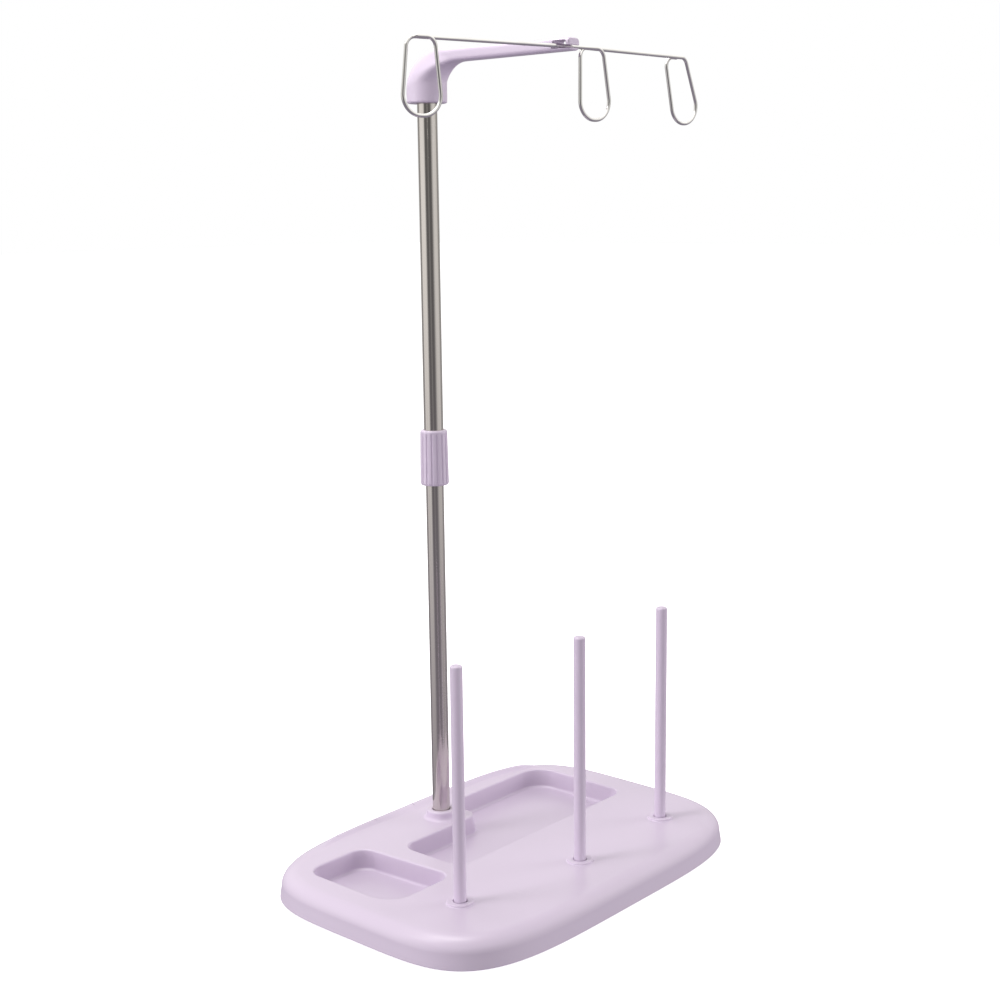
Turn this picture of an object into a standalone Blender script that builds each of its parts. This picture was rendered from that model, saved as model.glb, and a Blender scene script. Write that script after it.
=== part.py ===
"""Spool holder stand: a moulded base with three spool pins, two trays and a telescopic pole that carries
an arm with a bent-wire thread guide.

Frame: +Z up, origin at the centre of the footprint on the surface that the stand rests on. +X runs along the
base's long side and +Y points from the spool pins to the pole. Helpers work in millimetres and build in metres.
"""

import math

import bmesh
import bpy
from mathutils import Vector

MM = 0.001
GAP = 0.3  # left between pieces that are fixed to each other
RUNNING = 0.05  # radial clearance of pieces that turn or slide on each other
ROUND = 48  # facets of a turned piece

# Base moulding
BASE_HALF_LENGTH = 115.7
BASE_HALF_WIDTH = 80.7
BASE_POWER = 4.3  # exponent of the footprint's superellipse
BASE_POINTS = 96
RIM_BOTTOM = 0.8
DECK = 15.6  # height of the deck's flat top
EDGE_RADIUS = 8.0
DRAFT = 0.8
WALL = 2.4
RECESS_FLOOR = 5.0
RECESS_DRAFT = 0.8  # how much smaller a recess is at its floor
NEEDLE_TRAY = (((-96.8, -9.0), 13.0), ((-53.6, -9.0), 8.0), ((-57.8, 51.3), 9.0), ((-96.8, 51.3), 9.0))
TRAY_LEFT, TRAY_RIGHT, TRAY_FRONT, TRAY_REAR = -43.4, 94.0, -4.8, 59.0
TRAY_STEP_X, TRAY_STEP_Y = 16.0, 36.0  # the bobbin tray steps round the deck that the pole stands on
LIP_START, LIP_END = -72.0, 97.0  # the low lip along the deck's rear edge
LIP_INSET, LIP_HALF_WIDTH = 9.6, 1.6
LIP_LEFT_HEIGHT, LIP_RIGHT_HEIGHT = 1.4, 2.2

# Spool pins: centres in the deck
PIN_SPOTS = {"left": (-75.0, -34.0), "middle": (0.5, -47.5), "right": (74.0, -45.0)}
PIN_RADIUS = 3.08
PIN_TOP = 134.0
PIN_CORNER = 1.3
PIN_ROOT = 6.3
PIN_SOCKET_RADIUS = 6.6
PIN_SOCKET_BOTTOM = 4.2
SEAT_RADIUS, SEAT_HEIGHT = 6.6, 1.2

FOOT_SPOTS = {"front_left": (-88, -60), "front_right": (88, -60), "rear_left": (-88, 62), "rear_right": (88, 62)}
FOOT_RADIUS = 6.5
FOOT_PAD_BOTTOM = 2.0

# Pole: its axis is vertical through (0, POLE_Y)
POLE_Y = 48.8
LOWER_RADIUS, LOWER_BORE = 4.70, 4.40
UPPER_RADIUS, UPPER_BORE = 5.05, 4.75
LOWER_BOTTOM, LOWER_TOP = 8.3, 245.0
UPPER_BOTTOM, UPPER_TOP = 212.0, 409.0
POLE_SOCKET_RADIUS, POLE_SOCKET_TOP = 8.2, 20.5  # the moulded socket's outside

# Lock collar and the collet inside it
COLLAR_BOTTOM, COLLAR_TOP = 200.4, 229.4
COLLAR_FOOT_RADIUS, COLLAR_HEAD_RADIUS = 7.5, 7.05
COLLAR_FLUTES = 16
FLUTE_DEPTH = 0.55
COLLAR_CHAMFER = 0.9
COLLET_RADIUS = 6.0
COLLAR_LIP = 1.8  # thickness of the collar's inward lips

# Arm: a round socket that bends into a tapering arm along -Y
SOCKET_RADIUS = 10.2
SOCKET_BOTTOM = 394.4
ARM_TOP = 420.4
ARM_UNDERSIDE = 413.3
ARM_OUTER_BEND = 20.0
ARM_INNER_REACH, ARM_INNER_DROP = 14.5, 9.0
ARM_TIP_Y = -45.6
ARM_TIP_TOP, ARM_TIP_UNDERSIDE = 419.0, 413.4
ARM_HALF_WIDTH, ARM_TIP_HALF_WIDTH = 5.2, 4.4
ARM_POINTS = 32
BORE_TOP = 410.6
SLOT_DEPTH = 9.6  # of the slot that the wire is pushed into from the arm's end

# Wire guide
WIRE_RADIUS = 0.9
WIRE_Z = 415.5
EYE_HALF_WIDTH, EYE_TOP_HALF_WIDTH = 10.3, 6.4
EYE_RADIUS, EYE_TOP_RADIUS = 8.6, 4.6
STRAND_PITCH = 2.3  # between the two strands where an eye's wire crosses itself
EYES = {  # centre in plan, direction in degrees, height of the top, height of the bottom, lean of the bottom
    "left": ((-75.0, -19.0), -16.6, WIRE_Z + 0.8, 382.7, 0.0),
    "middle": ((14.5, -45.5), -6.5, WIRE_Z, 382.9, 2.9),
    "right": ((91.7, -41.2), -6.0, WIRE_Z + 1.0, 384.1, 10.0),
}

LAVENDER = ("lavender_plastic", (0.72, 0.62, 0.83), 0.0, 0.32)
STEEL = ("brushed_stainless", (0.62, 0.59, 0.56), 1.0, 0.28)
WIRE_STEEL = ("bright_wire", (0.75, 0.74, 0.72), 1.0, 0.15)
NYLON = ("natural_nylon", (0.85, 0.84, 0.80), 0.0, 0.45)
ZINC = ("zinc_plated", (0.66, 0.67, 0.68), 1.0, 0.30)
RUBBER = ("grey_rubber", (0.16, 0.16, 0.17), 0.0, 0.85)


def clear_scene():
    for old in list(bpy.data.objects):
        bpy.data.objects.remove(old, do_unlink=True)


def material(finish):
    name, colour, metallic, roughness = finish
    made = bpy.data.materials.get(name) or bpy.data.materials.new(name)
    made.use_nodes = True
    made.diffuse_color = (*colour, 1.0)
    shader = made.node_tree.nodes["Principled BSDF"]
    shader.inputs["Base Color"].default_value = (*colour, 1.0)
    shader.inputs["Metallic"].default_value = metallic
    shader.inputs["Roughness"].default_value = roughness
    return made


def add_object(name, data, parent=None):
    made = bpy.data.objects.new(name, data)
    bpy.context.scene.collection.objects.link(made)
    made.parent = parent
    return made


def ring_solid(name, rings, finish=None, closed=False, parent=None, at=(0, 0, 0)):
    """A closed mesh through rings of equal point counts: capped at both ends, or closed on itself like a tube."""
    mesh = bpy.data.meshes.new(name)
    shape = bmesh.new()
    loops = [[shape.verts.new(Vector(point) * MM) for point in ring] for ring in rings]
    pairs = list(zip(loops, loops[1:]))
    if closed:
        pairs.append((loops[-1], loops[0]))
    else:
        shape.faces.new(loops[0])
        shape.faces.new(loops[-1])
    for low, high in pairs:
        for index in range(len(low)):
            after = (index + 1) % len(low)
            shape.faces.new((low[index], low[after], high[after], high[index]))
    bmesh.ops.recalc_face_normals(shape, faces=shape.faces)
    shape.to_mesh(mesh)
    shape.free()
    mesh.shade_smooth()
    mesh.set_sharp_from_angle(angle=math.radians(35))
    made = add_object(name, mesh, parent)
    made.location = Vector(at) * MM
    if finish:
        mesh.materials.append(material(finish))
    return made


def circle(radius, z, count=ROUND):
    return [
        (radius * math.cos(math.tau * step / count), radius * math.sin(math.tau * step / count), z)
        for step in range(count)
    ]


def turned(name, profile, finish=None, closed=False, parent=None, at=(0, 0, 0), count=ROUND):
    """A turned piece from its (radius, height) profile."""
    return ring_solid(name, [circle(r, z, count) for r, z in profile], finish, closed, parent, at)


def change(target, tool, operation="DIFFERENCE"):
    """Cuts the tool from the target, or adds it, and hides the tool."""
    modifier = target.modifiers.new(tool.name, "BOOLEAN")
    modifier.operation = operation
    modifier.solver = "EXACT"
    modifier.object = tool
    tool.hide_render = True
    tool.display_type = "WIRE"


def superellipse(inset, z):
    """The base's outline, moved inwards by inset."""
    points = []
    for step in range(BASE_POINTS):
        angle = math.tau * (step + 0.5) / BASE_POINTS
        across, along = math.cos(angle), math.sin(angle)
        x = math.copysign(abs(across) ** (2 / BASE_POWER), across) * (BASE_HALF_LENGTH - inset)
        y = math.copysign(abs(along) ** (2 / BASE_POWER), along) * (BASE_HALF_WIDTH - inset)
        points.append((x, y, z))
    return points


def fillet(points, radii, steps, closed):
    """Rounds a polyline's corners: each corner becomes an arc of its radius, tangent to both runs."""
    points = [Vector(point) for point in points]
    rounded = []
    last = len(points) - 1
    for index, corner in enumerate(points):
        if not closed and index in (0, last):
            rounded.append(corner)
            continue
        back = (points[index - 1] - corner).normalized()
        ahead = (points[(index + 1) % len(points)] - corner).normalized()
        half = back.angle(ahead) / 2
        centre = corner + (back + ahead).normalized() * radii[index] / math.sin(half)
        start = corner + back * radii[index] / math.tan(half) - centre
        end = corner + ahead * radii[index] / math.tan(half) - centre
        sweep = start.angle(end)
        for step in range(steps + 1):
            part = step / steps
            arc = start * math.sin((1 - part) * sweep) + end * math.sin(part * sweep)
            rounded.append(centre + arc / math.sin(sweep))
    return rounded


def recess_outline(corners, grow, z):
    """A recess's rounded outline at height z, with its walls moved outwards by grow."""
    places = [Vector((*place, 0)) for place, _ in corners]
    moved, radii = [], []
    for index, (_, radius) in enumerate(corners):
        before = (places[index] - places[index - 1]).normalized()
        after = (places[(index + 1) % len(places)] - places[index]).normalized()
        turn = before.cross(after).z
        out_before = Vector((before.y, -before.x, 0))
        out_after = Vector((after.y, -after.x, 0))
        shift = (out_before + out_after) / (1 + out_before.dot(out_after))
        moved.append(places[index] + shift * grow)
        radii.append(radius + math.copysign(grow, turn))
    return [(point.x, point.y, z) for point in fillet(moved, radii, 6, True)]


def tray_corners():
    """The bobbin tray: an L that leaves the deck round the pole whole."""
    return (
        ((TRAY_LEFT, TRAY_FRONT), 9.0),
        ((TRAY_RIGHT, TRAY_FRONT), 9.0),
        ((TRAY_RIGHT, TRAY_REAR), 14.0),
        ((TRAY_STEP_X, TRAY_REAR), 7.0),
        ((TRAY_STEP_X, TRAY_STEP_Y), 7.0),
        ((TRAY_LEFT, TRAY_STEP_Y), 8.0),
    )


def rear_lip():
    """A low rounded ridge that follows the rear edge and sinks into the deck at both ends."""
    half_length, half_width = BASE_HALF_LENGTH - LIP_INSET, BASE_HALF_WIDTH - LIP_INSET
    section = ((-1.0, 0.0), (-0.6, 0.8), (0.0, 1.0), (0.6, 0.8), (1.0, 0.0))
    rings = []
    steps = 40
    for step in range(steps + 1):
        part = step / steps
        x = LIP_START + (LIP_END - LIP_START) * part
        y = half_width * (1 - abs(x / half_length) ** BASE_POWER) ** (1 / BASE_POWER)
        slope = -(abs(x / half_length) ** (BASE_POWER - 1)) * math.copysign(1, x) * half_width / half_length
        slope *= (y / half_width) ** (1 - BASE_POWER)
        outwards = Vector((-slope, 1)).normalized()
        ends = min(1, 0.2 + 8 * part, 0.2 + 8 * (1 - part))
        height = (LIP_LEFT_HEIGHT + (LIP_RIGHT_HEIGHT - LIP_LEFT_HEIGHT) * part + 1) * ends
        ring = []
        for across, up in section:
            place = Vector((x, y)) + outwards * across * LIP_HALF_WIDTH
            ring.append((place.x, place.y, DECK - 1 + height * up))
        rings.append(ring)
    return ring_solid("rear_lip", rings)


def base_shell(parent):
    arc = [math.radians(angle) for angle in (0, 15, 30, 45, 60, 75, 90)]
    shoulder = DECK - EDGE_RADIUS
    rings = [superellipse(0.4, RIM_BOTTOM), superellipse(0, RIM_BOTTOM + 0.5)]
    for angle in arc:
        inset = DRAFT + EDGE_RADIUS * (1 - math.cos(angle))
        rings.append(superellipse(inset, shoulder + EDGE_RADIUS * math.sin(angle)))
    shell = ring_solid("base_shell", rings, LAVENDER, parent=parent)

    inner = EDGE_RADIUS - WALL
    rings = [superellipse(WALL, -1)]
    for angle in arc[::2]:
        inset = DRAFT + WALL + inner * (1 - math.cos(angle))
        rings.append(superellipse(inset, shoulder + inner * math.sin(angle)))
    cavity = ring_solid("base_cavity", rings)
    recesses = {"needle_tray": NEEDLE_TRAY, "bobbin_tray": tray_corners()}
    for name, corners in recesses.items():
        under = recess_outline(corners, WALL - RECESS_DRAFT, RECESS_FLOOR - WALL)
        over = recess_outline(corners, WALL, DECK + 2)
        change(cavity, ring_solid(name + "_walls", [under, over]))
    for side, spot in PIN_SPOTS.items():
        at = (*spot, 0)
        core = turned("pin_socket_" + side, [(PIN_SOCKET_RADIUS, PIN_SOCKET_BOTTOM), (PIN_SOCKET_RADIUS, DECK)], at=at)
        change(cavity, core)
    for corner, spot in FOOT_SPOTS.items():
        pad = turned("foot_pad_" + corner, [(9, FOOT_PAD_BOTTOM), (9, DECK)], at=(*spot, 0), count=32)
        change(cavity, pad)
    floor = LOWER_BOTTOM - GAP
    core = turned("pole_socket_core", [(POLE_SOCKET_RADIUS, floor - WALL), (POLE_SOCKET_RADIUS, DECK)], at=(0, POLE_Y, 0))
    change(cavity, core)
    change(shell, cavity)
    change(shell, rear_lip(), "UNION")

    for name, corners in recesses.items():
        floor_outline = recess_outline(corners, -RECESS_DRAFT, RECESS_FLOOR)
        change(shell, ring_solid(name, [floor_outline, recess_outline(corners, 0, DECK + 2)]))
    collar = [(POLE_SOCKET_RADIUS + 2, DECK - 1), (POLE_SOCKET_RADIUS + 2, DECK)]
    collar += [(POLE_SOCKET_RADIUS + 0.5, DECK + 1.2), (POLE_SOCKET_RADIUS, DECK + 2.5)]
    collar += [(POLE_SOCKET_RADIUS, POLE_SOCKET_TOP - 1), (POLE_SOCKET_RADIUS - 1, POLE_SOCKET_TOP)]
    change(shell, turned("pole_collar", collar, at=(0, POLE_Y, 0)), "UNION")
    hole = [(1.6, -1), (1.6, floor), (LOWER_RADIUS + GAP, floor + 0.001), (LOWER_RADIUS + GAP, POLE_SOCKET_TOP + 1)]
    change(shell, turned("pole_hole", hole, at=(0, POLE_Y, 0)))
    for side, spot in PIN_SPOTS.items():
        at = (*spot, 0)
        seat = [(SEAT_RADIUS, DECK - 1), (SEAT_RADIUS, DECK + SEAT_HEIGHT - 0.4), (SEAT_RADIUS - 0.4, DECK + SEAT_HEIGHT)]
        change(shell, turned("seat_" + side, seat, at=at), "UNION")
        socket = PIN_RADIUS + GAP
        bottom = PIN_ROOT - GAP
        hole = [(1.4, -1), (1.4, bottom), (socket, bottom + 0.001), (socket, DECK + 3)]
        change(shell, turned("pin_hole_" + side, hole, at=at))
    return shell


def feet(parent):
    profile = [(FOOT_RADIUS - 0.5, 0), (FOOT_RADIUS, 0.5), (FOOT_RADIUS, FOOT_PAD_BOTTOM - GAP)]
    for corner, spot in FOOT_SPOTS.items():
        turned("rubber_foot_" + corner, profile, RUBBER, parent=parent, at=(*spot, 0), count=24)


def rounded_end(radius, corner, top, steps=4):
    """The profile of a flat end with a rounded edge, from its widest ring up to the flat."""
    angles = [math.radians(90) * step / steps for step in range(steps + 1)]
    return [(radius - corner * (1 - math.cos(angle)), top - corner * (1 - math.sin(angle))) for angle in angles]


def screw_profile(head_radius, shank_radius, head_bottom, head_top, tip):
    """A pan-head screw standing head down; its recess is a shallow cone in the head."""
    return [
        (0.3, head_bottom + 0.9),
        (head_radius * 0.45, head_bottom),
        (head_radius * 0.8, head_bottom),
        (head_radius, head_bottom + 0.6),
        (head_radius, head_top),
        (shank_radius, head_top),
        (shank_radius, tip - 1.2),
        (0.3, tip),
    ]


def spool_pins(parent):
    for side, spot in PIN_SPOTS.items():
        at = (*spot, 0)
        bore = [(1.4, PIN_ROOT), (1.4, PIN_ROOT + 9), (0.3, PIN_ROOT + 9.4)]
        outside = [(PIN_RADIUS, PIN_ROOT)] + rounded_end(PIN_RADIUS, PIN_CORNER, PIN_TOP)
        turned("spool_pin_" + side, bore[::-1] + outside, LAVENDER, parent=parent, at=at, count=28)
        profile = screw_profile(2.7, 1.1, 1.9, PIN_SOCKET_BOTTOM - GAP, 14.0)
        turned("pin_screw_" + side, profile, ZINC, parent=parent, at=at, count=20)


def lower_pole(parent, at):
    tube = [(LOWER_BORE, LOWER_BOTTOM), (LOWER_RADIUS, LOWER_BOTTOM), (LOWER_RADIUS, LOWER_TOP), (LOWER_BORE, LOWER_TOP)]
    turned("lower_pole", tube, STEEL, closed=True, parent=parent, at=at)
    plug = LOWER_BORE - GAP
    insert = [(0.3, 19.5), (1.6, 19.1), (1.6, LOWER_BOTTOM), (plug, LOWER_BOTTOM), (plug, 24.5), (plug - 0.5, 25)]
    turned("pole_foot_insert", insert, ZINC, parent=parent, at=at, count=32)
    floor_underside = LOWER_BOTTOM - GAP - WALL
    washer = [(1.7, floor_underside - 1.1), (4.4, floor_underside - 1.1)]
    washer += [(4.4, floor_underside - GAP), (1.7, floor_underside - GAP)]
    turned("pole_washer", washer, ZINC, closed=True, parent=parent, at=at, count=32)
    head_top = floor_underside - 1.1 - GAP
    profile = screw_profile(3.1, 1.3, head_top - 2.2, head_top, 18.5)
    turned("pole_screw", profile, ZINC, parent=parent, at=at, count=24)
    bush = [(plug - 0.4, LOWER_TOP - 12), (plug, LOWER_TOP - 11), (plug, LOWER_TOP + GAP)]
    bush += [(LOWER_RADIUS, LOWER_TOP + GAP), (LOWER_RADIUS, LOWER_TOP + 2.5), (LOWER_RADIUS - 0.5, LOWER_TOP + 3)]
    turned("slide_bush", bush, NYLON, parent=parent, at=at)


def upper_pole(parent):
    tube = [(UPPER_BORE, UPPER_BOTTOM), (UPPER_RADIUS, UPPER_BOTTOM), (UPPER_RADIUS, UPPER_TOP), (UPPER_BORE, UPPER_TOP)]
    turned("upper_pole", tube, STEEL, closed=True, parent=parent)
    grip = LOWER_RADIUS + RUNNING
    sleeve = UPPER_RADIUS + GAP
    low, step, high = COLLAR_BOTTOM + COLLAR_LIP + GAP, UPPER_BOTTOM - GAP, COLLAR_TOP - COLLAR_LIP - GAP
    collet = [(grip, low + 0.6), (COLLET_RADIUS - 0.5, low), (COLLET_RADIUS, low + 0.8), (COLLET_RADIUS, high)]
    collet += [(sleeve, high), (sleeve, step), (grip, step)]
    turned("collet", collet, NYLON, closed=True, parent=parent)
    plug = UPPER_BORE - GAP
    profile = [(plug - 0.5, 386), (plug, 387), (plug, UPPER_TOP + GAP), (UPPER_RADIUS - 0.1, UPPER_TOP + GAP)]
    profile += [(UPPER_RADIUS - 0.1, UPPER_TOP + 1), (UPPER_RADIUS - 0.5, UPPER_TOP + 1.3)]
    turned("mast_plug", profile, NYLON, parent=parent)


def fluted(radius, depth, z):
    """A ring whose radius dips between the ribs of the collar."""
    points = []
    for step in range(COLLAR_FLUTES * 4):
        turn = math.tau * step / (COLLAR_FLUTES * 4)
        reach = radius - (depth if step % 4 in (2, 3) else 0)
        points.append((reach * math.cos(turn), reach * math.sin(turn), z))
    return points


def lock_collar(parent):
    count = COLLAR_FLUTES * 4
    bore = COLLET_RADIUS + RUNNING
    foot, head = COLLAR_FOOT_RADIUS, COLLAR_HEAD_RADIUS
    rings = [
        circle(LOWER_RADIUS + 2 * RUNNING, COLLAR_BOTTOM, count),
        fluted(foot - COLLAR_CHAMFER, 0, COLLAR_BOTTOM),
        fluted(foot, FLUTE_DEPTH, COLLAR_BOTTOM + COLLAR_CHAMFER),
        fluted(head, FLUTE_DEPTH, COLLAR_TOP - COLLAR_CHAMFER),
        fluted(head - COLLAR_CHAMFER, 0, COLLAR_TOP),
        circle(UPPER_RADIUS + 2 * RUNNING, COLLAR_TOP, count),
        circle(UPPER_RADIUS + 2 * RUNNING, COLLAR_TOP - COLLAR_LIP, count),
        circle(bore, COLLAR_TOP - COLLAR_LIP, count),
        circle(bore, COLLAR_BOTTOM + COLLAR_LIP, count),
        circle(LOWER_RADIUS + 2 * RUNNING, COLLAR_BOTTOM + COLLAR_LIP, count),
    ]
    ring_solid("lock_collar", rings, LAVENDER, closed=True, parent=parent)


def arm_section(top, under, half_width, power=2.6):
    """A rounded section of the arm between a point of its top line and one of its underside, both (y, z)."""
    middle = (Vector(top) + Vector(under)) / 2
    reach = Vector(top) - middle
    ring = []
    for step in range(ARM_POINTS):
        angle = math.tau * step / ARM_POINTS
        across = math.copysign(abs(math.cos(angle)) ** (2 / power), math.cos(angle))
        up = math.copysign(abs(math.sin(angle)) ** (2 / power), math.sin(angle))
        place = middle + reach * up
        ring.append((half_width * across, place.x, place.y))
    return ring


def arm(parent):
    """Local to the pole's axis, so the socket's centre is at y = 0."""
    bend_y = SOCKET_RADIUS - ARM_OUTER_BEND
    bend_z = ARM_TOP - ARM_OUTER_BEND
    inner_y = -SOCKET_RADIUS - ARM_INNER_REACH
    inner_z = ARM_UNDERSIDE - ARM_INNER_DROP
    rings = [arm_section((SOCKET_RADIUS, SOCKET_BOTTOM), (-SOCKET_RADIUS, SOCKET_BOTTOM), SOCKET_RADIUS, 2)]
    steps = 8
    for step in range(steps + 1):
        part = step / steps
        turn = math.radians(90) * part
        top = (bend_y + ARM_OUTER_BEND * math.cos(turn), bend_z + ARM_OUTER_BEND * math.sin(turn))
        under = (inner_y + ARM_INNER_REACH * math.cos(turn), inner_z + ARM_INNER_DROP * math.sin(turn))
        ease = part * part * (3 - 2 * part)
        half_width = SOCKET_RADIUS + (ARM_HALF_WIDTH - SOCKET_RADIUS) * ease
        rings.append(arm_section(top, under, half_width, 2 + 0.6 * ease))
    tip = ARM_TIP_Y - POLE_Y
    for part in (0.25, 0.5, 0.75, 1.0):
        top_y = bend_y + (tip - bend_y) * part
        under_y = inner_y + (tip - inner_y) * part
        top_z = ARM_TOP + (ARM_TIP_TOP - ARM_TOP) * part
        under_z = ARM_UNDERSIDE + (ARM_TIP_UNDERSIDE - ARM_UNDERSIDE) * part
        half_width = ARM_HALF_WIDTH + (ARM_TIP_HALF_WIDTH - ARM_HALF_WIDTH) * part
        rings.append(arm_section((top_y, top_z), (under_y, under_z), half_width, 2.6 + part))
    body = ring_solid("arm", rings, LAVENDER, parent=parent)
    bore = UPPER_RADIUS + RUNNING
    change(body, turned("arm_bore", [(bore, SOCKET_BOTTOM - 1), (bore, BORE_TOP)], at=(0, POLE_Y, 0)))
    half = WIRE_RADIUS + GAP
    low, high = WIRE_Z - half, WIRE_Z + half
    back = ARM_TIP_Y + SLOT_DEPTH
    mouth = ARM_TIP_Y - 2
    outline = [(mouth, low), (back - half, low), (back, low + half), (back - half, high), (mouth, high)]
    rings = [[(x, y, z) for y, z in outline] for x in (-12, 12)]
    change(body, ring_solid("wire_slot", rings))
    return body


def wire_route():
    """The wire's centre line: each eye is a full turn, clockwise seen from the front, one strand further back."""
    corners, radii = [], []

    def add(side, along, z, back, radius):
        centre, degrees = EYES[side][:2]
        turn = math.radians(degrees)
        x = centre[0] + along * math.cos(turn) - back * math.sin(turn)
        y = centre[1] + along * math.sin(turn) + back * math.cos(turn)
        corners.append((x, y, z))
        radii.append(radius)

    def turn_down_and_up(side, back):
        _, _, top, bottom, lean = EYES[side]
        add(side, EYE_TOP_HALF_WIDTH, top, back, EYE_TOP_RADIUS)
        add(side, lean + EYE_HALF_WIDTH, bottom, back + STRAND_PITCH * 0.35, EYE_RADIUS)
        add(side, lean - EYE_HALF_WIDTH, bottom, back + STRAND_PITCH * 0.65, EYE_RADIUS)
        add(side, -EYE_TOP_HALF_WIDTH, top, back + STRAND_PITCH, EYE_TOP_RADIUS)

    add("left", -3.5, EYES["left"][2], -STRAND_PITCH, 0)
    turn_down_and_up("left", -STRAND_PITCH)
    turn_down_and_up("middle", 0)
    turn_down_and_up("right", STRAND_PITCH)
    add("right", 3.0, EYES["right"][2], 2 * STRAND_PITCH, 0)
    return fillet(corners, radii, 5, False)


def wire_guide(parent):
    curve = bpy.data.curves.new("wire_guide", "CURVE")
    curve.dimensions = "3D"
    curve.bevel_depth = WIRE_RADIUS * MM
    curve.bevel_resolution = 2
    curve.use_fill_caps = True
    curve.materials.append(material(WIRE_STEEL))
    route = wire_route()
    spline = curve.splines.new("POLY")
    spline.points.add(len(route) - 1)
    for point, place in zip(spline.points, route):
        point.co = (*(place * MM), 1.0)
    add_object("wire_guide", curve, parent).location = (0, -POLE_Y * MM, 0)


def main():
    clear_scene()
    base = add_object("base_frame", None)
    mast = add_object("mast_slide", None, base)
    mast.location = (0, POLE_Y * MM, 0)
    collar = add_object("collar_turn", None, mast)
    swivel = add_object("arm_swivel", None, mast)
    base_shell(base)
    feet(base)
    spool_pins(base)
    lower_pole(base, (0, POLE_Y, 0))
    upper_pole(mast)
    lock_collar(collar)
    arm(swivel)
    wire_guide(swivel)
    bpy.context.view_layer.update()


main()
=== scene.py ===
"""Looks of the spool holder stand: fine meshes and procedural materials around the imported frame.

Helpers work in millimetres and build in metres. Places come from the frame's boxes. The few shapes that a
box can't say, such as the base's outline and the trays' corners, are named values below.
"""

import math

import bmesh
import bpy
from mathutils import Matrix, Vector


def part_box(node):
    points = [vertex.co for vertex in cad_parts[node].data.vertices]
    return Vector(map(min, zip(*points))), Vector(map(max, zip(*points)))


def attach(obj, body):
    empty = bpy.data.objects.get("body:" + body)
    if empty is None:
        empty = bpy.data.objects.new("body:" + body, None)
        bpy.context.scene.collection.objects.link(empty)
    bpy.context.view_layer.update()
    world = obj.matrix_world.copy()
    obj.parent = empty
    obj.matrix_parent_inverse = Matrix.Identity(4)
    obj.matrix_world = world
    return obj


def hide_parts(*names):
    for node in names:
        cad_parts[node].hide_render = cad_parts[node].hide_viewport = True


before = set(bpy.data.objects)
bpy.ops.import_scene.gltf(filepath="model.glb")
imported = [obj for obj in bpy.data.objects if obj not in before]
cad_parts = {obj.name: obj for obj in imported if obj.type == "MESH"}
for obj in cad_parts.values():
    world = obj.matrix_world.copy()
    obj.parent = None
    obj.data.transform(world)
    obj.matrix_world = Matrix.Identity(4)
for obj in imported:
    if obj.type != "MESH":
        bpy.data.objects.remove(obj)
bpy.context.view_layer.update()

MM = 0.001

# Camera: at the stand's front left, looking slightly down (metres, degrees, millimetres of lens)
CAMERA_PLACE = (-0.59291, -0.51693, 0.34164)
CAMERA_YAW, CAMERA_PITCH, CAMERA_ROLL = 49.013, 11.302, -0.643
CAMERA_LENS, CAMERA_SENSOR = 56.81, 36.0
CAMERA_SHIFT = (-0.0078, 0.0252)


def box_mm(node):
    low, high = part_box(node)
    return low / MM, high / MM


def axis_mm(node):
    """Where a turned node's vertical axis stands."""
    low, high = box_mm(node)
    return (low.x + high.x) / 2, (low.y + high.y) / 2


SHELL_LOW, SHELL_HIGH = box_mm("base_shell")
POLE_X, POLE_Y = axis_mm("lower_pole")

# Base moulding
HALF_LENGTH, HALF_WIDTH = SHELL_HIGH.x, SHELL_HIGH.y
OUTLINE_POWER = 4.3
OUTLINE_POINTS = 288
RIM_BOTTOM = SHELL_LOW.z
RIM_EDGE = 0.6  # radius of the rim's outer lower edge
DECK = 15.6
EDGE_RADIUS = 8.0
DRAFT = 0.8
WALL = 2.4
TRAY_FLOOR = 5.0
TRAY_DRAFT = 0.8
TRAY_EDGE, TRAY_FOOT = 1.1, 1.6  # radii of a tray's upper edge and of the fillet at its floor
# The trays' corners, each with its place (x, y) and its radius
NEEDLE_TRAY = (((-96.8, -9.0), 13.0), ((-53.6, -9.0), 8.0), ((-57.8, 51.3), 9.0), ((-96.8, 51.3), 9.0))
BOBBIN_TRAY = (
    ((-43.4, -4.8), 9.0),
    ((94.0, -4.8), 9.0),
    ((94.0, 59.0), 14.0),
    ((16.0, 59.0), 7.0),
    ((16.0, 36.0), 7.0),
    ((-43.4, 36.0), 8.0),
)
SEAT_RADIUS, SEAT_HEIGHT = 6.6, 1.2
SOCKET_RADIUS, SOCKET_TOP = 8.2, SHELL_HIGH.z
GAP = 0.3  # between a pin or the pole and its hole
PIN_SCREW_HOLE, POLE_SCREW_HOLE = 1.4, 1.6  # radii
TUBE_WALL = 0.3

# Rear lip: a soft ridge behind the trays that widens towards the pole
LIP_START, LIP_END = -76.0, 99.0
LIP_LEFT_HEIGHT, LIP_RIGHT_HEIGHT = 1.35, 2.1
LIP_FADE = 16.0
LIP_OUTER_SLOPE = 2.6
LIP_INNER_SLOPE, LIP_INNER_EXTRA = 2.4, 4.6  # at the ends, and how much more beside the pole
LIP_EXTRA_MIDDLE, LIP_EXTRA_SPREAD = 6.0, 34.0
NOTCH_SPOTS = (-58.0, -29.0, 0.0)
NOTCH_WIDTH, NOTCH_FLOOR = 0.8, 0.25
NOTCH_BEHIND, NOTCH_AHEAD = 4.0, 2.6  # how far a notch runs either side of the deck's rear edge

# Lock collar
RIBS = 16
GROOVE_DEPTH = 0.55

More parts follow.
